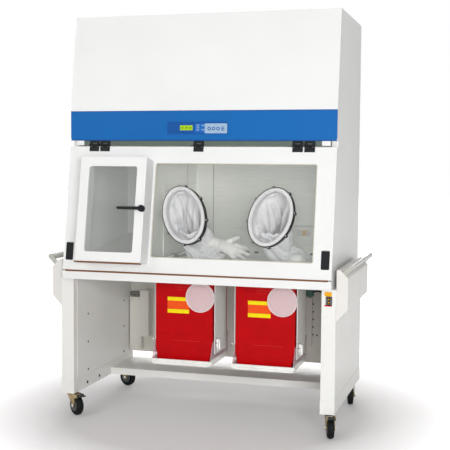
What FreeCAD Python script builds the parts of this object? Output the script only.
import FreeCAD, Part
import math
import os
import Sketcher

doc = FreeCAD.newDocument("ContainmentIsolator")

# Driving dimensions, mm. X runs across, Y runs back and Z up from the floor.
# The origin is the middle of the footprint at floor height.
SIZES = {
    # cabinet outline, depths counted back from the lower front edge
    "front_y": -358.6,
    "body_half": 670,
    "body_depth": 800,
    "pan_bottom": 695,
    "pan_top": 735,
    "panel_rise": 612,
    "panel_run": 105,
    "fascia_bottom": 1375,
    "fascia_top": 1520,
    "hood_run": 70,
    "total_height": 1990,
    "side_wall": 30,
    "rear_wall": 25,
    "sheet": 2,
    "fit": 0.3,
    # height adjustable stand
    "side_gap": 18,
    "stand_inset": 25,
    "stand_depth": 780,
    "leg_width": 66,
    "foot_bottom": 114,
    "foot_top": 180,
    "foot_wall": 3,
    "foot_web": 128,
    "foot_step": 1.5,
    "column_width": 46,
    "column_depth": 120,
    "column_top": 600,
    "ram_radius": 15,
    "ram_bottom": 330,
    "cover_inset": 40,
    "cover_sheet": 1.5,
    "screw_front": 165,
    "screw_back_inset": 137,
    "screw_low": 204,
    "screw_pitch": 144,
    "screw_head": 4,
    "rocker_inset": 32,
    "rocker_height": 643,
    "rocker_wide": 17,
    "rocker_half": 15,
    "rocker_pin": 1.5,
    "rocker_pin_depth": 6,
    "shelf_front": 490,
    "shelf_inset": 15,
    "shelf_top": 150,
    "stand_panel_bottom": 187,
    "stand_panel_inset": 19,
    "lift_travel": 150,
    # casters
    "wheel_radius": 50,
    "wheel_width": 32,
    "axle_radius": 5,
    "caster_trail": 42,
    "fork_top": 109,
    "fork_plate": 3,
    "swivel_radius": 26,
    "swivel_pin": 6.5,
    "caster_front_inset": 55,
    "caster_back_inset": 75,
    # hinged window panel, measured in its own leaning plane
    "panel_thick": 30,
    "panel_gap": 6,
    "panel_height": 620,
    "glass_left": -213,
    "glass_inset": 88,
    "glass_low": 80,
    "glass_high": 540,
    "glass_rebate": 12,
    "glass_lip": 4,
    "glass_thick": 6,
    "hinge_width": 50,
    "hinge_radius": 6,
    "hinge_pin": 2.5,
    "hinge_play": 0.05,
    "hinge_outer": 542,
    "hinge_inner": 485,
    "latch_inset": 32,
    "latch_width": 40,
    "latch_low": 53,
    "latch_height": 89,
    "latch_depth": 14,
    # glove ports
    "port_mid": 168,
    "port_half_span": 212,
    "port_height": 285,
    "port_long": 140,
    "port_short": 101,
    "port_tilt": 19,
    "port_wall": 8,
    "port_out": 38,
    "band_thick": 4,
    "band_width": 33,
    "band_set_back": 3,
    # pass-through
    "pass_left": -563,
    "pass_right": -223,
    "pass_low": 46,
    "pass_high": 552,
    "pass_wall": 15,
    "pass_depth": 58,
    "door_gap": 0.5,
    "door_thick": 40,
    "door_stile": 46,
    "door_glass": 6,
    "lever_x": -232,
    "lever_height": 304,
    "lever_reach": 123,
    # controls
    "overlay_left": -160,
    "overlay_right": 145,
    "overlay_low": 1406,
    "overlay_high": 1466,
    "display_left": -95,
    "display_right": -31,
    "display_low": 1425,
    "display_high": 1449,
    # handles
    "housing_low": 547,
    "housing_top": 785,
    "housing_flat": 17,
    "housing_reach": 53,
    "housing_bevel": 36,
    "housing_front": 37,
    "housing_length": 637,
    "grip_offset": 40,
    "grip_wide": 22,
    "grip_deep": 32,
    # sharps units
    "unit_one_x": -80,
    "unit_two_x": 330,
    "bin_half": 146,
    "bin_front": 130,
    "bin_depth": 250,
    "bin_bottom": 291,
    "bin_top": 688,
    "bin_wall": 3,
    "cradle_floor": 288,
    "cradle_drop": 40,
    "hanger_low": 335,
    "cradle_pin": 6,
    "cradle_pin_z": 392,
    "cap_radius": 73,
    "cap_height": 614,
    "mouth_wide": 200,
    "mouth_deep": 150,
}

# sizes that follow from others
FOLLOWING = {
    "stand_half": "body_half + side_gap",
    "latch_x": "body_half - latch_inset",
    "glass_right": "body_half - glass_inset",
    "rocker_x": "stand_half - rocker_inset",
    "stand_back": "stand_inset + stand_depth",
    "shelf_back": "stand_back - shelf_inset",
    "stand_panel_y": "stand_back - stand_panel_inset",
    "screw_back": "stand_depth - screw_back_inset",
    "caster_front": "stand_inset + caster_front_inset",
    "caster_back": "stand_back - caster_back_inset",
}

sheet = doc.addObject("Spreadsheet::Sheet", "Sizes")
for row, (alias, value) in enumerate(SIZES.items(), start=1):
    sheet.set("A%d" % row, alias)
    sheet.set("B%d" % row, str(value))
    sheet.setAlias("B%d" % row, alias)
doc.recompute()

PLANES = {"XY": "XY_Plane", "XZ": "XZ_Plane", "YZ": "YZ_Plane"}
nodes = []


def bound(text):
    """An expression over the aliases, as FreeCAD wants it."""
    if isinstance(text, (int, float)):
        return repr(float(text))
    words = []
    word = ""
    for letter in text + " ":
        if letter.isalnum() or letter in "_.":
            word += letter
            continue
        if word:
            if word in SIZES:
                word = "Sizes." + word
            elif word in FOLLOWING:
                word = "(%s)" % bound(FOLLOWING[word])
            words.append(word)
        words.append(letter)
        word = ""
    return "".join(words).strip()


def value(text):
    """The number that an expression has now."""
    return float(sheet.evalExpression(bound(text)))


def plus(*terms):
    return " + ".join("(%s)" % term for term in terms)


def minus(first, *others):
    return "(%s)" % first + "".join(" - (%s)" % term for term in others)


def at_depth(text):
    """A depth counted from the cabinet's lower front edge."""
    return plus("front_y", text)


def bind(item, prop, text):
    item.setExpression(prop, bound(text))


def loose_body(name):
    return doc.addObject("PartDesign::Body", name)


def new_body(name):
    body = loose_body(name)
    body.Label = name
    nodes.append(body)
    return body


def fix_point(sketch, geometry, end, x, y):
    for kind, text in (("DistanceX", x), ("DistanceY", y)):
        index = sketch.addConstraint(Sketcher.Constraint(kind, geometry, end, value(text)))
        sketch.setExpression("Constraints[%d]" % index, bound(text))


def outline(points):
    """A closed outline with straight sides."""

    def draw(sketch):
        spots = [FreeCAD.Vector(value(x), value(y), 0) for x, y in points]
        count = len(spots)
        first = sketch.GeometryCount
        for index in range(count):
            line = Part.LineSegment(spots[index], spots[(index + 1) % count])
            sketch.addGeometry(line, False)
        for index in range(count):
            following = first + (index + 1) % count
            sketch.addConstraint(Sketcher.Constraint("Coincident", first + index, 2, following, 1))
            fix_point(sketch, first + index, 1, *points[index])

    return draw


def rectangle(x_low, y_low, x_high, y_high):
    return outline([(x_low, y_low), (x_high, y_low), (x_high, y_high), (x_low, y_high)])


def rounded(x_low, y_low, x_high, y_high, radius):
    """A rectangle with round corners."""

    def draw(sketch):
        corners = [
            (x_low, y_low, 1, 1, 180),
            (x_high, y_low, -1, 1, 270),
            (x_high, y_high, -1, -1, 0),
            (x_low, y_high, 1, -1, 90),
        ]
        arcs = []
        for x, y, right, up, start in corners:
            centre_x = plus(x, "%d * (%s)" % (right, radius))
            centre_y = plus(y, "%d * (%s)" % (up, radius))
            centre = FreeCAD.Vector(value(centre_x), value(centre_y), 0)
            circle = Part.Circle(centre, FreeCAD.Vector(0, 0, 1), value(radius))
            arc = Part.ArcOfCircle(circle, math.radians(start), math.radians(start + 90))
            arcs.append((sketch.addGeometry(arc, False), centre_x, centre_y))
        for index, (arc, centre_x, centre_y) in enumerate(arcs):
            following = arcs[(index + 1) % 4][0]
            start = sketch.getPoint(arc, 2)
            end = sketch.getPoint(following, 1)
            side = sketch.addGeometry(Part.LineSegment(start, end), False)
            sketch.addConstraint(Sketcher.Constraint("Tangent", arc, 2, side, 1))
            sketch.addConstraint(Sketcher.Constraint("Tangent", side, 2, following, 1))
            if index < 3:
                kind = "Vertical" if index == 1 else "Horizontal"
                sketch.addConstraint(Sketcher.Constraint(kind, side))
            fix_point(sketch, arc, 3, centre_x, centre_y)
        limit = sketch.addConstraint(Sketcher.Constraint("Radius", arcs[0][0], value(radius)))
        sketch.setExpression("Constraints[%d]" % limit, bound(radius))

    return draw


def circle(x, y, radius):
    def draw(sketch):
        centre = FreeCAD.Vector(value(x), value(y), 0)
        ring = Part.Circle(centre, FreeCAD.Vector(0, 0, 1), value(radius))
        geometry = sketch.addGeometry(ring, False)
        fix_point(sketch, geometry, 3, x, y)
        limit = sketch.addConstraint(Sketcher.Constraint("Radius", geometry, value(radius)))
        sketch.setExpression("Constraints[%d]" % limit, bound(radius))

    return draw


def new_sketch(body, plane, loops, start):
    sketch = body.newObject("Sketcher::SketchObject", body.Name + "_sketch")
    role = PLANES[plane]
    support = [item for item in body.Origin.OriginFeatures if item.Role == role][0]
    sketch.AttachmentSupport = [(support, "")]
    sketch.MapMode = "FlatFace"
    for loop in loops:
        loop(sketch)
    away = "-(%s)" % start if plane == "XZ" else start
    bind(sketch, "AttachmentOffset.Base.z", away)
    return sketch


def pad(body, plane, loops, start, length):
    """Adds the loops' area from start along the axis that the plane leaves out."""
    sketch = new_sketch(body, plane, loops, start)
    feature = body.newObject("PartDesign::Pad", body.Name + "_pad")
    feature.Profile = sketch
    feature.Reversed = plane == "XZ"
    bind(feature, "Length", length)
    sketch.Visibility = False
    return feature


def pocket(body, plane, loops, start, length):
    """Cuts the loops' area from start along the axis that the plane leaves out."""
    sketch = new_sketch(body, plane, loops, start)
    feature = body.newObject("PartDesign::Pocket", body.Name + "_pocket")
    feature.Profile = sketch
    feature.Reversed = plane != "XZ"
    bind(feature, "Length", length)
    sketch.Visibility = False
    return feature


def edges_at(feature, test):
    """Names of the edges whose middle passes the test."""
    names = []
    for index, edge in enumerate(feature.Shape.Edges, start=1):
        middle = edge.valueAt((edge.FirstParameter + edge.LastParameter) / 2)
        if test(middle, edge):
            names.append("Edge%d" % index)
    return names


def fillet(body, radius, test):
    doc.recompute()
    base = body.Tip
    names = edges_at(base, test)
    feature = body.newObject("PartDesign::Fillet", body.Name + "_fillet")
    feature.Base = (base, names)
    bind(feature, "Radius", radius)
    return feature


def box(name, x, y, z, length, width, height):
    item = doc.addObject("Part::Box", name)
    bind(item, "Length", length)
    bind(item, "Width", width)
    bind(item, "Height", height)
    bind(item, "Placement.Base.x", x)
    bind(item, "Placement.Base.y", y)
    bind(item, "Placement.Base.z", z)
    return item


TURNS = {
    "X": (FreeCAD.Vector(0, 1, 0), 90),
    "Y": (FreeCAD.Vector(1, 0, 0), -90),
    "Z": (FreeCAD.Vector(0, 0, 1), 0),
}


def rod(name, axis, x, y, z, radius, length):
    """A cylinder from a point along +X, +Y or +Z."""
    item = doc.addObject("Part::Cylinder", name)
    turn, angle = TURNS[axis]
    item.Placement = FreeCAD.Placement(FreeCAD.Vector(), FreeCAD.Rotation(turn, angle))
    bind(item, "Radius", radius)
    bind(item, "Height", length)
    bind(item, "Placement.Base.x", x)
    bind(item, "Placement.Base.y", y)
    bind(item, "Placement.Base.z", z)
    return item


def fuse(name, pieces, node=True):
    item = doc.addObject("Part::MultiFuse", name)
    item.Shapes = pieces
    if node:
        item.Label = name
        nodes.append(item)
    return item


def cut(name, base, tool, node=True):
    item = doc.addObject("Part::Cut", name)
    item.Base = base
    item.Tool = tool
    if node:
        item.Label = name
        nodes.append(item)
    return item


def group(name, pieces):
    """One node that holds separate solids."""
    item = doc.addObject("Part::Compound", name)
    item.Links = pieces
    item.Label = name
    nodes.append(item)
    return item


PANEL_LEAN = "atan(panel_run / panel_rise)"
PANEL_AXIS = FreeCAD.Vector(1, 0, 0)


def lean(item):
    """Stands an upright piece in the leaning plane of the window panel."""
    item.Placement = FreeCAD.Placement(FreeCAD.Vector(), FreeCAD.Rotation(PANEL_AXIS, -1))
    bind(item, "Placement.Rotation.Angle", "-" + PANEL_LEAN)
    bind(item, "Placement.Base.y", "front_y")
    bind(item, "Placement.Base.z", "pan_top")
    return item


def span(side, inner, outer):
    """Low and high X of something on the left (-1) or the right (1)."""
    if side > 0:
        return inner, outer
    return "-(%s)" % outer, "-(%s)" % inner


SIDES = {"left": -1, "right": 1}
UNITS = {"one": "unit_one_x", "two": "unit_two_x"}
LEG_INNER = "stand_half - leg_width"
STAND_FRONT = at_depth("stand_inset")
STAND_BACK = plus(STAND_FRONT, "stand_depth")
BACK = at_depth("body_depth")
PANEL_BACK = "(panel_thick / cos(%s) + 1)" % PANEL_LEAN


def foot_beam(side, label):
    """Lower leg cover with a web that carries the casters and the lifting column."""
    low, high = span(side, minus(LEG_INNER, "foot_step"), plus("stand_half", "foot_step"))
    front = minus(STAND_FRONT, "foot_step")
    back = plus(STAND_BACK, "foot_step")
    body = loose_body("foot_beam_" + label)
    pad(body, "XY", [rectangle(low, front, high, back)], "foot_bottom", "foot_top - foot_bottom")
    inside = rectangle(
        plus(low, "foot_wall"), plus(front, "foot_wall"), minus(high, "foot_wall"), minus(back, "foot_wall")
    )
    web_top = plus("foot_web", "foot_wall")
    pocket(body, "XY", [inside], web_top, minus("foot_top", web_top))
    pocket(body, "XY", [inside], "foot_bottom", "foot_web - foot_bottom")
    middle = "%d * (stand_half - leg_width / 2)" % side
    holes = [
        circle(middle, at_depth(spot), "swivel_pin + hinge_play") for spot in ("caster_front", "caster_back")
    ]
    pocket(body, "XY", holes, "foot_web", "foot_wall")
    face = high if side < 0 else minus(low, "4")
    bolts = [circle(at_depth(depth), "foot_bottom + 23", "6") for depth in ("186", "336")]
    pad(body, "YZ", bolts, face, "4")
    return body


def base_shelf():
    reach = minus(LEG_INNER, "foot_step")
    wide = ("-(%s)" % reach, reach)
    body = new_body("base_shelf")
    front = at_depth("shelf_front")
    back = at_depth("shelf_back")
    height = "shelf_top - foot_bottom"
    pad(body, "XY", [rectangle(wide[0], front, wide[1], back)], "foot_bottom", height)
    hollow = rectangle(
        plus(wide[0], "sheet"), plus(front, "sheet"), minus(wide[1], "sheet"), minus(back, "sheet")
    )
    pocket(body, "XY", [hollow], "foot_bottom", minus(height, "sheet"))


def lift_columns():
    columns = []
    for label, side in SIDES.items():
        middle = "%d * (stand_half - leg_width / 2)" % side
        centre = plus(STAND_FRONT, "stand_depth / 2")
        base = plus("foot_web", "foot_wall")
        tube = box(
            "column_tube_" + label,
            minus(middle, "column_width / 2"),
            minus(centre, "column_depth / 2"),
            base,
            "column_width",
            "column_depth",
            minus("column_top", base),
        )
        bore = rod(
            "column_bore_" + label, "Z", middle, centre, plus(base, "10"), "ram_radius + 0.1", "column_top"
        )
        columns.append(cut("column_" + label, tube, bore, node=False))
    group("lift_columns", columns)


CHAMBER_TOP = "pan_top + panel_rise"
ROCKER_PIN_Y = plus(STAND_FRONT, "rocker_pin_depth")


def leg_casing(name, side):
    """Upper leg cover that slides up, with its ram, inner cover plate and screws."""
    low, high = span(side, LEG_INNER, "stand_half")
    bottom = "foot_top + fit"
    body = new_body(name)
    pad(body, "XY", [rectangle(low, STAND_FRONT, high, STAND_BACK)], bottom, minus("pan_bottom", bottom))
    inside = rectangle(
        plus(low, "sheet"), plus(STAND_FRONT, "sheet"), minus(high, "sheet"), minus(STAND_BACK, "sheet")
    )
    pocket(body, "XY", [inside], bottom, minus("pan_bottom", bottom, "sheet"))
    middle = "%d * (stand_half - leg_width / 2)" % side
    centre = plus(STAND_FRONT, "stand_depth / 2")
    ram = circle(middle, centre, "ram_radius")
    pad(body, "XY", [ram], "ram_bottom", "pan_bottom - ram_bottom - sheet / 2")
    face = high if side < 0 else minus(low, "cover_sheet")
    plate = rectangle(
        plus(STAND_FRONT, "cover_inset"), "foot_top + 12", minus(STAND_BACK, "cover_inset"), "pan_bottom - 12"
    )
    pad(body, "YZ", [plate], face, "cover_sheet")
    heads = []
    for depth in ("screw_front", "screw_back"):
        for step in range(3):
            height = plus("screw_low", "%d * screw_pitch" % step)
            heads.append(circle(plus(STAND_FRONT, depth), height, "screw_head"))
    outer = plus(face, "cover_sheet") if side < 0 else minus(face, "cover_sheet")
    pad(body, "YZ", heads, outer, "cover_sheet")
    if side > 0:
        seat = rounded(
            "rocker_x - rocker_wide / 2 - 0.5", "rocker_height - rocker_half - 1",
            "rocker_x + rocker_wide / 2 + 0.5", "rocker_height + rocker_half + 1", "2"
        )
        pocket(body, "XZ", [seat], STAND_FRONT, "sheet")
        ear = rectangle(
            plus(ROCKER_PIN_Y, "-5"), "rocker_height - 6", plus(ROCKER_PIN_Y, "5"), "rocker_height + 6"
        )
        for edge in ("rocker_x - rocker_wide / 2 - 2.5", "rocker_x + rocker_wide / 2 + 0.5"):
            pad(body, "YZ", [ear], edge, "sheet")
        pin = circle(ROCKER_PIN_Y, "rocker_height", "rocker_pin")
        pad(body, "YZ", [pin], "rocker_x - rocker_wide / 2 - 1.5", "rocker_wide + 3")


CASTERS = {
    "front_left": (-1, "caster_front", -36),
    "front_right": (1, "caster_front", -72),
    "rear_left": (-1, "caster_back", -20),
    "rear_right": (1, "caster_back", -82),
}


def stand_at(item, side, depth, turn):
    """Puts a caster piece, drawn round its own swivel axis, at its place."""
    upright = FreeCAD.Rotation(FreeCAD.Vector(0, 0, 1), turn)
    item.Placement = FreeCAD.Placement(FreeCAD.Vector(), upright)
    bind(item, "Placement.Base.x", "%d * (stand_half - leg_width / 2)" % side)
    bind(item, "Placement.Base.y", at_depth(depth))


def caster_fork(spot, braked):
    """Swivel head, crown and two cheeks with the axle bolt."""
    name = "caster_fork_" + spot
    cheek_inner = "wheel_width / 2 + 1.5"
    cheek_outer = plus(cheek_inner, "fork_plate")
    crown_low = "fork_top - fork_plate"
    body = new_body(name)
    pad(body, "XY", [circle("0", "0", "swivel_radius")], crown_low, minus("foot_web", crown_low, "fit"))
    stem = circle("0", "0", "swivel_pin")
    pad(body, "XY", [stem], crown_low, "foot_web + foot_wall + 4 - (%s)" % crown_low)
    plate = outline(
        [
            ("-20", "-(%s)" % cheek_outer),
            ("caster_trail + 10", "-(%s)" % cheek_outer),
            ("caster_trail + 10", cheek_outer),
            ("-20", cheek_outer),
        ]
    )
    pad(body, "XY", [plate], crown_low, "fork_plate")
    reach = "caster_trail + 38" if braked else "caster_trail + 10"
    cheek = outline(
        [
            ("-20", "fork_top"),
            ("-20", "fork_top - 12"),
            ("caster_trail - 11", "wheel_radius"),
            ("caster_trail - 8", "wheel_radius - 8"),
            ("caster_trail", "wheel_radius - 11"),
            ("caster_trail + 8", "wheel_radius - 8"),
            ("caster_trail + 11", "wheel_radius"),
            ("caster_trail + 14", "fork_top - 18"),
            (reach, "fork_top - 16"),
            (reach, "fork_top"),
        ]
    )
    for edge in ("-(%s)" % cheek_outer, cheek_inner):
        pad(body, "XZ", [cheek], edge, "fork_plate")
    bolt = plus(cheek_outer, "4")
    axle = circle("caster_trail", "wheel_radius", "axle_radius")
    pad(body, "XZ", [axle], "-(%s)" % bolt, "2 * (%s)" % bolt)
    for edge in ("-(%s)" % bolt, cheek_outer):
        pad(body, "XZ", [circle("caster_trail", "wheel_radius", "axle_radius + 3")], edge, "4")
    if braked:
        pin = circle("caster_trail + 30", "fork_top - 7", "2.5")
        pad(body, "XZ", [pin], "-(%s)" % cheek_outer, "2 * (%s)" % cheek_outer)
    return body


def caster_wheel(spot):
    """Tyre, web and hub, turned round the axle."""
    body = new_body("caster_wheel_" + spot)
    half = "wheel_width / 2"
    profile = [
        ("axle_radius + hinge_play", "-(%s)" % half),
        ("14", "-(%s)" % half),
        ("16", "-(%s) + 4" % half),
        ("wheel_radius - 16", "-(%s) + 6" % half),
        ("wheel_radius - 13", "-(%s) + 1" % half),
        ("wheel_radius - 5", "-(%s) + 2" % half),
        ("wheel_radius - 1", "-(%s) + 7" % half),
        ("wheel_radius", "0"),
    ]
    mirrored = [(x, y.replace("-(", "(").replace(") +", ") -")) for x, y in reversed(profile[:-1])]
    sketch = new_sketch(body, "XY", [outline(profile + mirrored)], "0")
    feature = body.newObject("PartDesign::Revolution", body.Name + "_turn")
    feature.Profile = sketch
    feature.ReferenceAxis = (sketch, ["V_Axis"])
    feature.Angle = 360
    sketch.Visibility = False
    return body


def brake_pedal(spot):
    body = new_body("brake_pedal_" + spot)
    half = "wheel_width / 2 + 0.8"
    tread = outline(
        [
            ("caster_trail + 24", "fork_top - 11"),
            ("caster_trail + 48", "fork_top - 11"),
            ("caster_trail + 64", "fork_top - 6"),
            ("caster_trail + 66", "fork_top - 2"),
            ("caster_trail + 46", "fork_top - 3"),
            ("caster_trail + 24", "fork_top - 3"),
        ]
    )
    pad(body, "XZ", [tread], "-(%s)" % half, "2 * (%s)" % half)
    bore = circle("caster_trail + 30", "fork_top - 7", "2.5 + hinge_play")
    pocket(body, "XZ", [bore], "-(%s)" % half, "2 * (%s)" % half)
    return body


def casters():
    for spot, (side, depth, turn) in CASTERS.items():
        braked = spot.startswith("front")
        stand_at(caster_fork(spot, braked), side, depth, turn)
        wheel = caster_wheel(spot)
        stand_at(wheel, side, depth, turn)
        along = FreeCAD.Vector(math.cos(math.radians(turn)), math.sin(math.radians(turn)), 0)
        leg_middle = "%d * (stand_half - leg_width / 2)" % side
        bind(wheel, "Placement.Base.x", leg_middle + " + %f * caster_trail" % along.x)
        bind(wheel, "Placement.Base.y", "(%s) + %f * caster_trail" % (at_depth(depth), along.y))
        bind(wheel, "Placement.Base.z", "wheel_radius")
        if braked:
            stand_at(brake_pedal(spot), side, depth, turn)


def stand_rear_panel():
    body = new_body("stand_rear_panel")
    front = at_depth("stand_panel_y")
    plate = rectangle("-(%s)" % LEG_INNER, "stand_panel_bottom", LEG_INNER, "pan_bottom")
    pad(body, "XZ", [plate], front, "sheet")
    heads = [circle("500", plus("346", "%d * 41" % step), "4") for step in range(4)]
    heads.append(circle("528", "346", "4"))
    pad(body, "XZ", heads, minus(front, "1.5"), "1.5")


def service_boxes():
    """Supply boxes on the stand's rear panel and the conduit between them."""
    front = at_depth("stand_panel_y")
    left = "-(%s)" % LEG_INNER
    pieces = [
        box("control_box", plus(left, "10"), minus(front, "46"), "205", "68", "46", "300"),
        box("supply_box", plus(left, "79"), minus(front, "70"), "285", "52", "70", "262"),
        box("cable_trunk", "405", minus(front, "24"), "283", "28", "24", "262"),
        box("socket_block", "100", minus(front, "40"), "600", "44", "40", "44"),
        rod("conduit", "X", plus(left, "cover_sheet + 2"), minus(front, "24"), "522", "10",
            minus("79", "cover_sheet + 2")),
        box(
            "plug_block", minus(LEG_INNER, "24"), at_depth("690"), "518", minus("24", "cover_sheet"), "20", "20"
        ),
    ]
    group("service_boxes", pieces)


CABLE_ROUTE = [
    (419, 774, 545.5),
    (419, 774, 562),
    (452, 762, 586),
    (510, 742, 578),
    (565, 702, 532),
    (597.5, 700, 528),
]


def lift_cable():
    """Lead from the cable trunk to the plug on the right leg."""
    front = value("front_y")
    points = [FreeCAD.Vector(x, front + y, z) for x, y, z in CABLE_ROUTE]
    curve = Part.BSplineCurve()
    curve.interpolate(points)
    wire = Part.Wire(curve.toShape())
    start = Part.Circle(points[0], curve.tangent(0)[0], 4)
    profile = Part.Wire(start.toShape())
    item = doc.addObject("Part::Feature", "lift_cable")
    item.Label = "lift_cable"
    item.Shape = wire.makePipeShell([profile], True, True)
    nodes.append(item)


def base_pan():
    """Work surface pan with a collared mouth over each sharps unit."""
    body = new_body("base_pan")
    height = "pan_top - pan_bottom"
    pad(body, "XY", [rectangle("-body_half", "front_y", "body_half", BACK)], "pan_bottom", height)
    hollow = rectangle("-body_half + 3", "front_y + 3", "body_half - 3", minus(BACK, "3"))
    pocket(body, "XY", [hollow], "pan_bottom", minus(height, "3"))
    collars = []
    mouths = []
    for middle in UNITS.values():
        low = minus(middle, "mouth_wide / 2")
        high = plus(middle, "mouth_wide / 2")
        front = at_depth("bin_front + 50")
        back = plus(front, "mouth_deep")
        mouths.append(rounded(low, front, high, back, "15"))
        collars.append(rounded(minus(low, "6"), minus(front, "6"), plus(high, "6"), plus(back, "6"), "18"))
    pad(body, "XY", collars, "pan_bottom", minus(height, "1"))
    pocket(body, "XY", mouths, "pan_bottom", height)


def side_profile():
    """Side wall outline behind the leaning panel, the fascia and the hood."""
    return outline(
        [
            (at_depth(PANEL_BACK), "pan_top"),
            (at_depth(plus("panel_run", PANEL_BACK)), "pan_top + panel_rise"),
            (at_depth(plus("panel_run", PANEL_BACK)), "fascia_bottom"),
            (at_depth("panel_run + sheet"), "fascia_bottom"),
            (at_depth("panel_run + sheet"), "fascia_top"),
            (at_depth("panel_run + hood_run + sheet"), "total_height - sheet"),
            (BACK, "total_height - sheet"),
            (BACK, "pan_top"),
        ]
    )


def cabinet_shell():
    body = new_body("cabinet_shell")
    wall = rectangle("-body_half", "pan_top", "body_half", "total_height - sheet")
    pad(body, "XZ", [wall], minus(BACK, "rear_wall"), "rear_wall")
    pad(body, "YZ", [side_profile()], "-body_half", "side_wall")
    pad(body, "YZ", [side_profile()], "body_half - side_wall", "side_wall")


def hood_shell():
    """Folded sheet over the front, top and front corners of the hood."""
    body = new_body("hood_shell")
    fold = outline(
        [
            (at_depth("panel_run"), "fascia_top"),
            (at_depth("panel_run + hood_run"), "total_height"),
            (BACK, "total_height"),
            (BACK, "total_height - sheet"),
            (at_depth("panel_run + hood_run + sheet"), "total_height - sheet"),
            (at_depth("panel_run + sheet"), "fascia_top"),
        ]
    )
    pad(body, "YZ", [fold], "-body_half", "2 * body_half")


def control_fascia():
    body = new_body("control_fascia")
    plate = rectangle("-body_half", "fascia_bottom", "body_half", "fascia_top")
    pad(body, "XZ", [plate], at_depth("panel_run"), "sheet")
    fillet(body, "15", lambda middle, edge: abs(middle.z - value("fascia_bottom")) < 1
           and abs(abs(middle.x) - value("body_half")) < 1)
    window = rounded("overlay_left + 8", "overlay_low + 8", "overlay_right - 8", "overlay_high - 8", "4")
    pocket(body, "XZ", [window], at_depth("panel_run"), "sheet")


def control_overlay():
    """Key panel with a window for the display."""
    front = minus(at_depth("panel_run"), "1.5")
    body = new_body("control_overlay")
    face = rounded("overlay_left", "overlay_low", "overlay_right", "overlay_high", "5")
    pad(body, "XZ", [face], front, "1.5")
    hole = rectangle("display_left", "display_low", "display_right", "display_high")
    pocket(body, "XZ", [hole], front, "1.5")


def display():
    body = new_body("display")
    front = minus(at_depth("panel_run"), "1")
    glass = rectangle("display_left", "display_low", "display_right", "display_high")
    pad(body, "XZ", [glass], front, "1")
    board = rounded("display_left - 6", "display_low - 6", "display_right + 6", "display_high + 6", "3")
    pad(body, "XZ", [board], at_depth("panel_run"), "10")


def top_gasket():
    """Seal above the window panel, between the side walls."""
    body = new_body("top_gasket")
    reach = "body_half - side_wall"
    front = at_depth("panel_run + sheet")
    strip = rectangle("-(%s)" % reach, "fascia_bottom - 23", reach, "fascia_bottom + 12")
    pad(body, "XZ", [strip], front, "32")
    relief = rectangle("-(%s)" % reach, "fascia_bottom - 23", reach, "fascia_bottom")
    pocket(body, "XZ", [relief], front, "3")


def chamber_liner():
    """Bright interior sheet: floor, back, right side and the outlet plate."""
    body = new_body("chamber_liner")
    left = "pass_right - 5"
    right = "body_half - side_wall"
    back = minus(BACK, "rear_wall")
    front = at_depth(PANEL_BACK)
    top = "pan_top + panel_rise"
    pad(body, "XY", [rectangle(left, front, right, back)], "pan_top", "sheet")
    pad(body, "XZ", [rectangle(left, "pan_top", right, top)], minus(back, "sheet"), "sheet")
    side = outline(
        [(front, "pan_top"), (plus(front, "panel_run"), CHAMBER_TOP), (back, CHAMBER_TOP),
         (back, "pan_top")]
    )
    pad(body, "YZ", [side], minus(right, "sheet"), "sheet")
    pad(body, "XZ", [rounded("330", "868", "436", "925", "3")], minus(back, "sheet + 6"), "6")
    slots = [rectangle(str(x), "776", str(x + 22), "784") for x in (4, 58, 112)]
    pocket(body, "XZ", slots, minus(back, "sheet"), "1")
    mouths = []
    for middle in UNITS.values():
        low = minus(middle, "mouth_wide / 2")
        high = plus(middle, "mouth_wide / 2")
        mouth_front = at_depth("bin_front + 50")
        mouths.append(rounded(low, mouth_front, high, plus(mouth_front, "mouth_deep"), "15"))
    pocket(body, "XY", mouths, "pan_top", "sheet")


def partition():
    """Wall between the pass-through and the work chamber, with its doorway and rails."""
    body = new_body("partition")
    front = at_depth(PANEL_BACK)
    back = minus(BACK, "rear_wall")
    wall = outline(
        [(front, "pan_top"), (plus(front, "panel_run"), CHAMBER_TOP), (back, CHAMBER_TOP),
         (back, "pan_top")]
    )
    pad(body, "YZ", [wall], "pass_right - 9", "4")
    doorway = rounded(at_depth("250"), "820", at_depth("500"), "1130", "12")
    pocket(body, "YZ", [doorway], "pass_right - 9", "4")
    for height in ("799", "1151"):
        rail = rectangle(at_depth("225"), height, at_depth("765"), plus(height, "4"))
        pad(body, "YZ", [rail], "pass_right - 5", "8")


def inner_door():
    body = new_body("inner_door")
    leaf = rounded(at_depth("235"), "803.3", at_depth("515"), "1150.7", "6")
    pad(body, "YZ", [leaf], "pass_right - 5 + fit", "4")
    grip = rounded(at_depth("488"), "930", at_depth("500"), "1020", "4")
    pad(body, "YZ", [grip], "pass_right - 1 + fit", "18")


def pass_tray():
    """Sloping tray in the pass-through."""
    body = new_body("pass_tray")
    front = at_depth(plus(PANEL_BACK, "8"))
    back = minus(BACK, "rear_wall")
    fold = outline(
        [
            (front, "pan_top"),
            (front, "pan_top + 40"),
            (back, "pan_top + 130"),
            (back, "pan_top + 127"),
            (plus(front, "3"), "pan_top + 37"),
            (plus(front, "3"), "pan_top"),
        ]
    )
    left = "-body_half + side_wall"
    pad(body, "YZ", [fold], left, minus("pass_right - 9", left))


def supply_filter():
    """Filter case over the chamber, open towards it, with its pleated pack."""
    body = new_body("supply_filter")
    reach = "body_half - side_wall"
    front = at_depth("panel_run + 50")
    back = minus(BACK, "rear_wall")
    case = rectangle("-(%s)" % reach, front, reach, back)
    pad(body, "XY", [case], "pan_top + panel_rise", "150")
    mouth = rectangle("-(%s) + 20" % reach, plus(front, "20"), "(%s) - 20" % reach, minus(back, "20"))
    pocket(body, "XY", [mouth], "pan_top + panel_rise", "25")


BLOWER_SPOT = ("0", "460", "1750")


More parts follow.
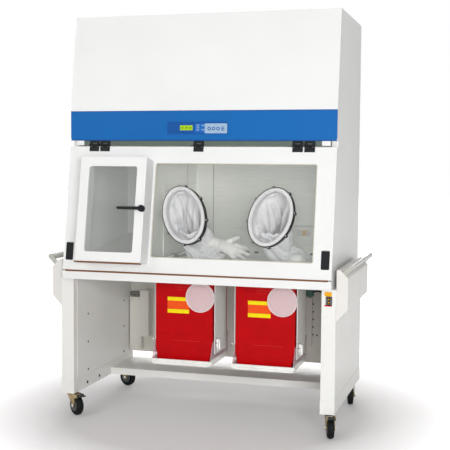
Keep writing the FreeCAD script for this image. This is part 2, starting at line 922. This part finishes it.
def blower_housing():
    """Round blower case with its outlet duct and the motor that carries the wheel."""
    x, depth, z = BLOWER_SPOT
    y = at_depth(depth)
    case = rod("blower_case", "X", "-130", y, z, "180", "260")
    duct = box("blower_duct", "-130", minus(y, "180"), "pan_top + panel_rise + 150", "260", "170",
               minus(z, "pan_top + panel_rise + 150"))
    shell = fuse("blower_shell", [case, duct], node=False)
    hollow = rod("blower_hollow", "X", "-127", y, z, "177", "254")
    throat = box("blower_throat", "-127", minus(y, "177"), "pan_top + panel_rise + 150", "254", "164",
                 minus(z, "pan_top + panel_rise + 150"))
    inlet = rod("blower_inlet", "X", "100", y, z, "90", "60")
    room = fuse("blower_room", [hollow, throat, inlet], node=False)
    open_case = cut("blower_open_case", shell, room, node=False)
    motor = rod("blower_motor", "X", "-250", y, z, "70", "120")
    shaft = rod("blower_shaft", "X", "-130", y, z, "10", "95")
    fuse("blower_housing", [open_case, motor, shaft])


def blower_wheel():
    """Drum of forward blades on a back plate and hub."""
    x, depth, z = BLOWER_SPOT
    y = at_depth(depth)
    plate = rod("wheel_plate", "X", "-110", y, z, "140", "3")
    hub = rod("wheel_hub", "X", "-110", y, z, "24", "70")
    rim_outer = rod("wheel_rim_outer", "X", "95", y, z, "140", "5")
    rim_inner = rod("wheel_rim_inner", "X", "90", y, z, "118", "15")
    rim = cut("wheel_rim", rim_outer, rim_inner, node=False)
    blades = []
    count = 16
    for index in range(count):
        turn = 360 / count * index
        blade = box("wheel_blade_%d" % index, "-110", "120", "0", "208", "18", "3")
        pose = FreeCAD.Rotation(FreeCAD.Vector(1, 0, 0), turn)
        side = pose.multVec(FreeCAD.Vector(0, 120, 0))
        blade.Placement = FreeCAD.Placement(FreeCAD.Vector(), pose)
        bind(blade, "Placement.Base.y", plus(y, "%f" % side.y))
        bind(blade, "Placement.Base.z", plus(z, "%f" % side.z))
        blades.append(blade)
    drum = fuse("wheel_drum", [plate, hub, rim] + blades, node=False)
    bore = rod("wheel_bore", "X", "-111", y, z, "10 + hinge_play", "80")
    cut("blower_wheel", drum, bore)


def work_lamp():
    """Strip lamp behind the top of the window."""
    y = at_depth("panel_run + 60")
    top = "pan_top + panel_rise"
    tray = box("lamp_tray", "-150", minus(y, "20"), minus(top, "14"), "720", "40", "14")
    tube = rod("lamp_tube", "X", "-140", y, minus(top, "21"), "8", "700")
    fuse("work_lamp", [tray, tube])


def iv_bar():
    """Rail with open hooks across the chamber."""
    y = at_depth("300")
    rail_long = "body_half - side_wall - sheet - pass_right + 5"
    rail = rod("iv_rail", "X", "pass_right - 5", y, "1290", "5", rail_long)
    pieces = [rail]
    for index, x in enumerate(("50", "180", "310", "440")):
        hook = doc.addObject("Part::Torus", "iv_hook_%d" % index)
        hook.Placement = FreeCAD.Placement(
            FreeCAD.Vector(), FreeCAD.Rotation(FreeCAD.Vector(1, 1, 1), 120)
        )
        hook.Radius1 = 14
        hook.Radius2 = 2.5
        hook.Angle3 = 250
        bind(hook, "Placement.Base.x", x)
        bind(hook, "Placement.Base.y", minus(y, "14"))
        bind(hook, "Placement.Base.z", "1290")
        pieces.append(hook)
    fuse("iv_bar", pieces)


def window_panel():
    """Hinged front panel with the openings for the window, the pass-through and the latches."""
    body = new_body("window_panel")
    pad(body, "XZ", [rectangle("-body_half", "panel_gap", "body_half", "panel_height")], "0", "panel_thick")
    sight = rounded("glass_left", "glass_low", "glass_right", "glass_high", "10")
    pocket(body, "XZ", [sight], "0", "panel_thick")
    seat = rounded(
        "glass_left - glass_rebate", "glass_low - glass_rebate",
        "glass_right + glass_rebate", "glass_high + glass_rebate", "12"
    )
    pocket(body, "XZ", [seat], "glass_lip", "panel_thick - glass_lip")
    way = rounded(
        "pass_left + pass_wall", "pass_low + pass_wall",
        "pass_right - pass_wall", "pass_high - pass_wall", "10"
    )
    pocket(body, "XZ", [way], "0", "panel_thick")
    recesses = []
    for side in SIDES.values():
        low, high = span(side, "latch_x - latch_width / 2", "latch_x + latch_width / 2")
        recesses.append(rounded(low, "latch_low", high, "latch_low + latch_height", "6"))
    pocket(body, "XZ", recesses, "0", "latch_depth")
    pivot = circle("3.5", "latch_low + latch_height - 7", "2 + hinge_play")
    for side in SIDES.values():
        low, high = span(side, "latch_x - latch_width / 2", "latch_x + latch_width / 2")
        pocket(body, "YZ", [pivot], minus(low, "4"), "latch_width + 8")
    lean(body)


def oval(name, front, long_half, short_half, depth):
    """An oval bar, upright before its port's tilt is applied."""
    ring = doc.addObject("Part::Ellipse", name + "_line")
    bind(ring, "MajorRadius", long_half)
    bind(ring, "MinorRadius", short_half)
    ring.Placement = FreeCAD.Placement(
        FreeCAD.Vector(),
        FreeCAD.Rotation(FreeCAD.Vector(0, 0, 1), FreeCAD.Vector(1, 0, 0), FreeCAD.Vector(0, 1, 0)),
    )
    bar = doc.addObject("Part::Extrusion", name)
    bar.Base = ring
    bar.DirMode = "Custom"
    bar.Dir = FreeCAD.Vector(0, 1, 0)
    bar.Solid = True
    bind(bar, "LengthFwd", depth)
    bind(ring, "Placement.Base.y", front)
    return bar


PORTS = {"left": -1, "right": 1}


def tilt(item, side):
    """Leans a port's piece outward at the top and puts it at its centre."""
    item.Placement = FreeCAD.Placement(FreeCAD.Vector(), FreeCAD.Rotation(FreeCAD.Vector(0, 1, 0), 1))
    bind(item, "Placement.Rotation.Angle", "%d * port_tilt" % side)
    bind(item, "Placement.Base.x", "port_mid + %d * port_half_span" % side)
    bind(item, "Placement.Base.z", "port_height")
    return item


def window_glass():
    body = loose_body("glass_sheet")
    pane = rounded(
        "glass_left - glass_rebate + fit", "glass_low - glass_rebate + fit",
        "glass_right + glass_rebate - fit", "glass_high + glass_rebate - fit", "12"
    )
    pad(body, "XZ", [pane], "glass_lip", "glass_thick")
    holes = []
    for label, side in PORTS.items():
        hole = oval("glass_hole_" + label, "0", "port_long - port_wall + fit",
                    "port_short - port_wall + fit", "panel_thick")
        holes.append(tilt(hole, side))
    both = fuse("glass_holes", holes, node=False)
    lean(cut("window_glass", body, both))


def glove_rings():
    """Oval port tubes that clamp round the edge of the glass."""
    rings = []
    for label, side in PORTS.items():
        inner = ("port_long - port_wall", "port_short - port_wall")
        outer = oval("ring_outer_" + label, "-port_out", "port_long", "port_short", "port_out + glass_lip")
        neck = oval("ring_neck_" + label, "glass_lip - 1", inner[0], inner[1], "panel_thick - 6")
        solid = fuse("ring_solid_" + label, [outer, neck], node=False)
        hole = oval("ring_hole_" + label, "-port_out", inner[0] + " - port_wall",
                    inner[1] + " - port_wall", "port_out + panel_thick")
        rings.append(tilt(cut("ring_" + label, solid, hole, node=False), side))
    lean(group("glove_rings", rings))


BAND_FRONT = "band_set_back - port_out"
CLIP_COUNT = 8
CLIP_WIDTH = 12
CLIP_SINK = 1
CLIP_INSET = 4


def ring_bands():
    """Dark clamping band round each port with its eight clips."""
    pieces = []
    for label, side in PORTS.items():
        outer = oval("band_outer_" + label, BAND_FRONT, "port_long + band_thick",
                     "port_short + band_thick", "band_width")
        inner = oval("band_inner_" + label, BAND_FRONT, "port_long", "port_short", "band_width")
        band = cut("band_" + label, outer, inner, node=False)
        clips = [band]
        for index in range(CLIP_COUNT):
            turn = math.radians((index + 0.5) * 360 / CLIP_COUNT)
            reach_x = math.sin(turn)
            reach_z = math.cos(turn)
            normal = math.degrees(math.atan2(reach_x * value("port_long"), reach_z * value("port_short")))
            clip = box("clip_%s_%d" % (label, index), "0", BAND_FRONT, "0", str(CLIP_WIDTH),
                       "band_width - 2 * %g" % CLIP_INSET, "band_thick + 3")
            spin = FreeCAD.Rotation(FreeCAD.Vector(0, 1, 0), normal)
            shift = spin.multVec(FreeCAD.Vector(-CLIP_WIDTH / 2, 0, -CLIP_SINK))
            clip.Placement = FreeCAD.Placement(FreeCAD.Vector(), spin)
            bind(clip, "Placement.Base.x", "(port_short + band_thick) * %f + %f" % (reach_x, shift.x))
            bind(clip, "Placement.Base.y", BAND_FRONT + " + %g" % CLIP_INSET)
            bind(clip, "Placement.Base.z", "(port_long + band_thick) * %f + %f" % (reach_z, shift.z))
            clips.append(clip)
        pieces.append(tilt(fuse("band_clips_" + label, clips, node=False), side))
    lean(group("ring_bands", pieces))


def standing_oval(x, y, z, tall, wide, turn, depth):
    """An upright oval bar that runs back from y, turned about Y."""
    wire = Part.Wire(Part.Ellipse(FreeCAD.Vector(0, 0, 0), tall, wide).toShape())
    upright = FreeCAD.Rotation(FreeCAD.Vector(0, 0, 1), FreeCAD.Vector(1, 0, 0), FreeCAD.Vector(0, 1, 0))
    spin = FreeCAD.Rotation(FreeCAD.Vector(0, 1, 0), turn)
    wire.Placement = FreeCAD.Placement(FreeCAD.Vector(x, y, z), spin * upright)
    return Part.Face(wire).extrude(FreeCAD.Vector(0, depth, 0))


SLEEVE_FRONT = -16
SLEEVE_BACK = 50
SLEEVE_THICK = 10
ARM_RADIUS = 78
WRIST_RADIUS = 38
HAND_RADIUS = 34
FINGER_RADIUS = 26
ELBOW = (4, 44, -44)
WRIST = (62, 122, -190)
KNUCKLES = (118, 124, -212)


def glove(name, side):
    """Soft sleeve and glove that hang from a port to just over the work surface."""
    middle = value("port_mid + %d * port_half_span" % side)
    height = value("port_height")
    long_half = value("port_long - 2 * port_wall") - 1
    short_half = value("port_short - 2 * port_wall") - 1
    tilted = side * value("port_tilt")
    collar_long = SLEEVE_BACK - SLEEVE_FRONT
    collar = standing_oval(middle, SLEEVE_FRONT, height, long_half, short_half, tilted, collar_long)
    port = FreeCAD.Vector(middle, 0, height)
    elbow = port + FreeCAD.Vector(*ELBOW)
    wrist = port + FreeCAD.Vector(*WRIST)
    knuckles = port + FreeCAD.Vector(*KNUCKLES)
    sleeve_ball = Part.makeSphere(ARM_RADIUS, elbow)
    forearm = Part.makeCone(ARM_RADIUS, WRIST_RADIUS, elbow.distanceToPoint(wrist), elbow, wrist - elbow)
    wrist_ball = Part.makeSphere(WRIST_RADIUS, wrist)
    hand = Part.makeCone(HAND_RADIUS, FINGER_RADIUS, wrist.distanceToPoint(knuckles), wrist, knuckles - wrist)
    finger_ball = Part.makeSphere(FINGER_RADIUS, knuckles)
    arm = sleeve_ball.fuse([forearm, wrist_ball, hand, finger_ball])
    ring_back = value("panel_thick")
    reach = 2 * ARM_RADIUS
    in_front = Part.makeBox(2 * reach, reach, 2 * reach)
    in_front.translate(FreeCAD.Vector(middle - reach, ring_back - reach, height - reach))
    arm = arm.cut(in_front)
    mouth_front = SLEEVE_FRONT - 4
    mouth = standing_oval(middle, mouth_front, height, long_half - SLEEVE_THICK, short_half - SLEEVE_THICK,
                          tilted, ring_back - mouth_front)
    shape = collar.fuse(arm).cut(mouth)
    item = doc.addObject("Part::Feature", name)
    item.Label = name
    item.Shape = shape
    nodes.append(lean(item))


HINGES = ("-hinge_outer", "-hinge_inner", "0", "hinge_inner", "hinge_outer")
HINGE_Y = "-4"
HINGE_Z = "panel_height + 6"


def window_hinges():
    """Leaves and middle knuckles that swing with the window panel."""
    leaves = []
    for index, middle in enumerate(HINGES):
        left = minus(middle, "hinge_width / 2")
        leaf = box("leaf_%d" % index, left, "-3", "panel_height - 24", "hinge_width", "3", "23")
        web = box("leaf_web_%d" % index, minus(middle, "hinge_width / 4"), "-4", "panel_height - 3",
                  "hinge_width / 2", "4", "5")
        knuckle = rod("knuckle_%d" % index, "X", minus(middle, "hinge_width / 4"), HINGE_Y, HINGE_Z,
                      "hinge_radius", "hinge_width / 2")
        joined = fuse("leaf_body_%d" % index, [leaf, web, knuckle], node=False)
        pin_fit = "hinge_pin + hinge_play"
        bore = rod("leaf_bore_%d" % index, "X", left, HINGE_Y, HINGE_Z, pin_fit, "hinge_width")
        leaves.append(cut("hinge_leaf_%d" % index, joined, bore, node=False))
    lean(group("window_hinges", leaves))


def hinge_brackets():
    """Pins, end knuckles and seats that hold the window hinges to the frame."""
    brackets = []
    for index, middle in enumerate(HINGES):
        left = minus(middle, "hinge_width / 2")
        ends = "hinge_width / 4 - fit"
        right = plus(middle, "hinge_width / 4 + fit")
        pieces = [
            rod("end_left_%d" % index, "X", left, HINGE_Y, HINGE_Z, "hinge_radius", ends),
            rod("end_right_%d" % index, "X", right, HINGE_Y, HINGE_Z, "hinge_radius", ends),
            rod("hinge_pin_%d" % index, "X", left, HINGE_Y, HINGE_Z, "hinge_pin", "hinge_width"),
            box("seat_left_%d" % index, left, HINGE_Y, HINGE_Z, ends, "5.5", "15"),
            box("seat_right_%d" % index, right, HINGE_Y, HINGE_Z, ends, "5.5", "15"),
            box("seat_bar_%d" % index, left, HINGE_Y, "panel_height + 18", "hinge_width", "4", "10"),
        ]
        brackets.append(fuse("hinge_bracket_%d" % index, pieces, node=False))
    lean(group("hinge_brackets", brackets))


PASS_HINGES = ("158", "449")
PASS_PIN_X = "pass_left - 8"
PASS_PIN_Y = "-pass_depth - 20"


def pass_frame():
    """Deep collar of the pass-through with its fixed hinge halves and strike."""
    body = new_body("pass_frame")
    outer = rounded("pass_left", "pass_low", "pass_right", "pass_high", "8")
    pad(body, "XZ", [outer], "-pass_depth", "pass_depth")
    inner = rounded(
        "pass_left + pass_wall", "pass_low + pass_wall",
        "pass_right - pass_wall", "pass_high - pass_wall", "10"
    )
    pocket(body, "XZ", [inner], "-pass_depth", "pass_depth")
    pocket(body, "XZ", [circle("lever_x", "lever_height", "6.5")], "-pass_depth", "12")
    for height in PASS_HINGES:
        pad(body, "XY", [circle(PASS_PIN_X, PASS_PIN_Y, "6")], height, "30")
        wing = rectangle(minus(PASS_PIN_X, "6"), PASS_PIN_Y, "pass_left", "-pass_depth + 14")
        pad(body, "XY", [wing], height, "30")
        pad(body, "XY", [circle(PASS_PIN_X, PASS_PIN_Y, "2.5")], minus(height, "29"), "30")
    lean(body)


def pass_door():
    """Framed door with half hinges on its left edge."""
    body = new_body("pass_door")
    back = "-pass_depth - door_gap"
    front = minus(back, "door_thick")
    outer = rounded("pass_left", "pass_low", "pass_right", "pass_high", "8")
    pad(body, "XZ", [outer], front, "door_thick")
    window = rounded(
        "pass_left + door_stile", "pass_low + door_stile",
        "pass_right - door_stile", "pass_high - door_stile", "12"
    )
    pocket(body, "XZ", [window], front, "door_thick")
    seat = rounded(
        "pass_left + door_stile - 8", "pass_low + door_stile - 8",
        "pass_right - door_stile + 8", "pass_high - door_stile + 8", "14"
    )
    pocket(body, "XZ", [seat], plus(front, "10"), "door_thick - 10")
    relief = rectangle("pass_left - 1", "-pass_depth - 28", "pass_left + 5", "-pass_depth")
    for height in PASS_HINGES:
        pocket(body, "XY", [relief], minus(height, "1"), "32")
    for height in PASS_HINGES:
        low = minus(height, "30")
        pad(body, "XY", [circle(PASS_PIN_X, PASS_PIN_Y, "6")], low, "29.5")
        wing = rectangle(PASS_PIN_X, minus(PASS_PIN_Y, "6"), plus("pass_left", "1"), PASS_PIN_Y)
        pad(body, "XY", [wing], low, "29.5")
        pocket(body, "XY", [circle(PASS_PIN_X, PASS_PIN_Y, "2.5 + hinge_play")], low, "30")
    bore = circle("lever_x", "lever_height", "5 + hinge_play")
    pocket(body, "XZ", [bore], front, "door_thick")
    lean(body)


def pass_glass():
    body = new_body("pass_glass")
    front = "-pass_depth - door_gap - door_thick + 10"
    pane = rounded(
        "pass_left + door_stile - 8 + fit", "pass_low + door_stile - 8 + fit",
        "pass_right - door_stile + 8 - fit", "pass_high - door_stile + 8 - fit", "14"
    )
    pad(body, "XZ", [pane], front, "door_glass")
    lean(body)


def door_lever():
    """Tapered arm on a round boss, with the spindle and its locking end."""
    body = new_body("door_lever")
    face = "-pass_depth - door_gap - door_thick - fit"
    boss = circle("lever_x", "lever_height", "16")
    pad(body, "XZ", [boss], minus(face, "16"), "16")
    arm = outline(
        [
            ("lever_x", "lever_height - 8"),
            ("lever_x", "lever_height + 8"),
            ("lever_x - lever_reach + 4", "lever_height + 6"),
            ("lever_x - lever_reach", "lever_height + 2"),
            ("lever_x - lever_reach", "lever_height - 2"),
            ("lever_x - lever_reach + 4", "lever_height - 6"),
        ]
    )
    pad(body, "XZ", [arm], minus(face, "20"), "11")
    spindle = circle("lever_x", "lever_height", "5")
    pad(body, "XZ", [spindle], minus(face, "1"), "door_thick + door_gap + fit + 9")
    lean(body)


def latch(name, side):
    """Paddle in its recess with two stub pins near the top."""
    low, high = span(side, "latch_x - latch_width / 2", "latch_x + latch_width / 2")
    body = new_body(name)
    paddle = rounded(
        plus(low, "fit"), "latch_low + fit", minus(high, "fit"), "latch_low + latch_height - 3", "5"
    )
    pad(body, "XZ", [paddle], "1", "5")
    scoop = rounded(plus(low, "7"), "latch_low + 10", minus(high, "7"), "latch_low + 34", "5")
    pocket(body, "XZ", [scoop], "1", "2")
    pin = circle("3.5", "latch_low + latch_height - 7", "2")
    pad(body, "YZ", [pin], minus(low, "3"), "latch_width + 6")
    lean(body)


def rocker_switch():
    """Two-way height switch in the front of the right leg, on its pivot pin."""
    body = new_body("rocker_switch")
    curve = outline(
        [
            (plus(STAND_FRONT, "-3"), "rocker_height - rocker_half"),
            (plus(STAND_FRONT, "-1"), "rocker_height"),
            (plus(STAND_FRONT, "-3"), "rocker_height + rocker_half"),
            (ROCKER_PIN_Y, "rocker_height + rocker_half - 2"),
            (plus(ROCKER_PIN_Y, "4"), "rocker_height"),
            (ROCKER_PIN_Y, "rocker_height - rocker_half + 2"),
        ]
    )
    left = "rocker_x - rocker_wide / 2"
    pad(body, "YZ", [curve], left, "rocker_wide")
    bore = circle(ROCKER_PIN_Y, "rocker_height", "rocker_pin + hinge_play")
    pocket(body, "YZ", [bore], left, "rocker_wide")


def handle_housing(side, label):
    """Folded housing along one side of the stand."""
    body = loose_body("handle_housing_" + label)
    points = [
        ("stand_half", "housing_low"),
        ("stand_half", "housing_top"),
        ("stand_half + housing_flat", "housing_top"),
        ("stand_half + housing_reach", "housing_top - housing_bevel"),
        ("stand_half + housing_reach", "housing_low + housing_reach + 4"),
    ]
    if side < 0:
        points = [("-(%s)" % x, z) for x, z in points]
    pad(body, "XZ", [outline(points)], at_depth("housing_front"), "housing_length")
    return body


def handle_grips():
    """Oval grips, each on two end brackets that stand on the housing's bevel."""
    grips = []
    for label, side in SIDES.items():
        middle = "stand_half + housing_flat + housing_bevel / 2"
        height = "housing_top - housing_bevel / 2"
        ellipse = doc.addObject("Part::Ellipse", "grip_line_" + label)
        bind(ellipse, "MajorRadius", "grip_deep / 2")
        bind(ellipse, "MinorRadius", "grip_wide / 2")
        tube = doc.addObject("Part::Extrusion", "grip_tube_" + label)
        tube.Base = ellipse
        tube.DirMode = "Custom"
        tube.Dir = FreeCAD.Vector(0, 1, 0)
        tube.Solid = True
        bind(tube, "LengthFwd", "housing_length")
        ellipse.Placement = FreeCAD.Placement(
            FreeCAD.Vector(),
            FreeCAD.Rotation(FreeCAD.Vector(0, 0, 1), FreeCAD.Vector(1, 0, 0), FreeCAD.Vector(0, 1, 0)),
        )
        bind(ellipse, "Placement.Base.z", "grip_offset")
        ends = [
            box("grip_front_" + label, "-grip_wide / 2", "0", "0", "grip_wide", "6", "grip_offset + 8"),
            box("grip_back_" + label, "-grip_wide / 2", "housing_length - 6", "0", "grip_wide", "6",
                "grip_offset + 8"),
        ]
        grip = fuse("grip_" + label, [tube] + ends, node=False)
        turn = FreeCAD.Rotation(FreeCAD.Vector(0, 1, 0), side * 45)
        grip.Placement = FreeCAD.Placement(FreeCAD.Vector(), turn)
        bind(grip, "Placement.Base.x", "%d * (%s)" % (side, middle))
        bind(grip, "Placement.Base.y", at_depth("housing_front"))
        bind(grip, "Placement.Base.z", height)
        grips.append(grip)
    group("handle_grips", grips)


CRADLE_GAP = "bin_half + 2"
HANGER_GAP = "bin_half + 6"


def sharps_hangers():
    """Plates under the pan that guide both cradles, with the toggle plates."""
    pieces = []
    for unit, middle in UNITS.items():
        for label, side in SIDES.items():
            low, high = span(side, HANGER_GAP, HANGER_GAP + " + 4")
            plate = box("hanger_%s_%s" % (unit, label), plus(middle, low), at_depth("bin_front + 14"),
                        "hanger_low", "4", "190", "pan_top - 3 - hanger_low")
            slot = box("hanger_slot_%s_%s" % (unit, label), minus(plus(middle, low), "1"),
                       at_depth("bin_front + 36 - cradle_pin - fit"),
                       "cradle_pin_z - cradle_drop - cradle_pin - fit", "6",
                       "2 * (cradle_pin + fit)", "cradle_drop + 2 * (cradle_pin + fit)")
            pieces.append(cut("hanger_plate_%s_%s" % (unit, label), plate, slot, node=False))
    group("sharps_hangers", pieces)


def sharps_cradle(unit, middle):
    """Tray with side cheeks and the pins that ride in the hangers' slots."""
    body = new_body("sharps_cradle_" + unit)
    front = at_depth("bin_front - 42")
    back = at_depth("bin_front + bin_depth + 6")
    low = minus(middle, CRADLE_GAP, "3")
    high = plus(middle, CRADLE_GAP, "3")
    pad(body, "XY", [rectangle(low, front, high, back)], "cradle_floor - 3", "3")
    lip = rectangle(low, "cradle_floor - 3", high, "cradle_floor + 20")
    pad(body, "XZ", [lip], front, "3")
    cheek = outline(
        [
            (front, "cradle_floor - 3"),
            (front, "cradle_floor + 24"),
            (at_depth("bin_front - 2"), "cradle_floor + 105"),
            (at_depth("bin_front + 60"), "cradle_floor + 125"),
            (back, "cradle_floor + 125"),
            (back, "cradle_floor - 3"),
        ]
    )
    pad(body, "YZ", [cheek], low, "3")
    pad(body, "YZ", [cheek], minus(high, "3"), "3")
    pin = circle(at_depth("bin_front + 36"), "cradle_pin_z", "cradle_pin")
    pad(body, "YZ", [pin], minus(low, "11"), "11.5")
    pad(body, "YZ", [pin], minus(high, "0.5"), "11.5")
    grip = rounded(
        at_depth("bin_front + 20"), "cradle_pin_z - 20", at_depth("bin_front + 52"), "cradle_pin_z + 20", "6"
    )
    pad(body, "YZ", [grip], plus(high, "9"), "3")


def sharps_bin(unit, middle):
    """Open-topped container with a narrower foot and a peg for its lid."""
    body = new_body("sharps_bin_" + unit)
    front = at_depth("bin_front")
    back = at_depth("bin_front + bin_depth")
    low = minus(middle, "bin_half")
    high = plus(middle, "bin_half")
    side = outline(
        [
            (plus(low, "12"), "bin_bottom - 3"),
            (low, "bin_bottom + 70"),
            (low, "bin_top"),
            (high, "bin_top"),
            (high, "bin_bottom + 70"),
            (minus(high, "22"), "bin_bottom - 3"),
        ]
    )
    pad(body, "XZ", [side], front, "bin_depth")
    hollow = outline(
        [
            (plus(low, "12 + bin_wall"), "bin_bottom"),
            (plus(low, "bin_wall"), "bin_bottom + 70"),
            (plus(low, "bin_wall"), "bin_top - 3"),
            (minus(high, "bin_wall"), "bin_top - 3"),
            (minus(high, "bin_wall"), "bin_bottom + 70"),
            (minus(high, "22 + bin_wall"), "bin_bottom"),
        ]
    )
    pocket(body, "XZ", [hollow], plus(front, "bin_wall"), "bin_depth - 2 * bin_wall")
    mouth_front = at_depth("bin_front + 50")
    mouth = rounded(
        minus(middle, "mouth_wide / 2"), mouth_front, plus(middle, "mouth_wide / 2"),
        plus(mouth_front, "mouth_deep"), "15"
    )
    pocket(body, "XY", [mouth], "bin_top - 3", "3")
    peg = circle(plus(middle, "85"), "cap_height", "6")
    pad(body, "XZ", [peg], minus(front, "7"), "8")


def sharps_cap(unit, middle):
    """Round lid, parked on the container's peg."""
    body = new_body("sharps_cap_" + unit)
    front = at_depth("bin_front - 8")
    disc = circle(plus(middle, "85"), "cap_height", "cap_radius")
    pad(body, "XZ", [disc], front, "7.7")
    dish = circle(plus(middle, "85"), "cap_height", "cap_radius - 3")
    pocket(body, "XZ", [dish], plus(front, "2"), "5.7")
    hub = circle(plus(middle, "85"), "cap_height", "10")
    pad(body, "XZ", [hub], front, "7")
    bore = circle(plus(middle, "85"), "cap_height", "6 + hinge_play")
    pocket(body, "XZ", [bore], plus(front, "0.7"), "7")


def port_cover(unit, middle):
    """Sliding plate with a knob over a sharps mouth."""
    body = new_body("port_cover_" + unit)
    front = at_depth("bin_front + 38")
    base = "pan_top + sheet + fit"
    plate = rounded(
        minus(middle, "mouth_wide / 2 + 14"), front, plus(middle, "mouth_wide / 2 + 14"),
        plus(front, "mouth_deep + 24"), "8"
    )
    pad(body, "XY", [plate], base, "3")
    pad(body, "XY", [circle(middle, plus(front, "mouth_deep / 2 + 12"), "6")], plus(base, "3"), "8")
    pad(body, "XY", [circle(middle, plus(front, "mouth_deep / 2 + 12"), "14")], plus(base, "11"), "12")


group("foot_beams", [foot_beam(side, label) for label, side in SIDES.items()])
group("handle_housings", [handle_housing(side, label) for label, side in SIDES.items()])
for label, side in SIDES.items():
    leg_casing("leg_casing_" + label, side)
    latch("latch_" + label, side)
    glove("glove_" + label, side)
base_shelf()
lift_columns()
casters()
stand_rear_panel()
service_boxes()
lift_cable()
base_pan()
cabinet_shell()
hood_shell()
control_fascia()
control_overlay()
display()
top_gasket()
chamber_liner()
partition()
inner_door()
pass_tray()
supply_filter()
blower_housing()
blower_wheel()
work_lamp()
iv_bar()
window_panel()
window_glass()
glove_rings()
ring_bands()
window_hinges()
hinge_brackets()
pass_frame()
pass_door()
pass_glass()
door_lever()
rocker_switch()
handle_grips()
sharps_hangers()
for unit, middle in UNITS.items():
    sharps_cradle(unit, middle)
    sharps_bin(unit, middle)
    sharps_cap(unit, middle)
    port_cover(unit, middle)

doc.recompute()
for item in doc.Objects:
    if "Invalid" in item.State or "Error" in item.State:
        raise RuntimeError("%s did not build: %s" % (item.Name, item.State))
os.makedirs("parts", exist_ok=True)
for node in nodes:
    if node.Shape.isNull() or not node.Shape.isValid():
        raise RuntimeError("%s has no valid shape" % node.Label)
    node.Shape.exportStep("parts/%s.step" % node.Label)
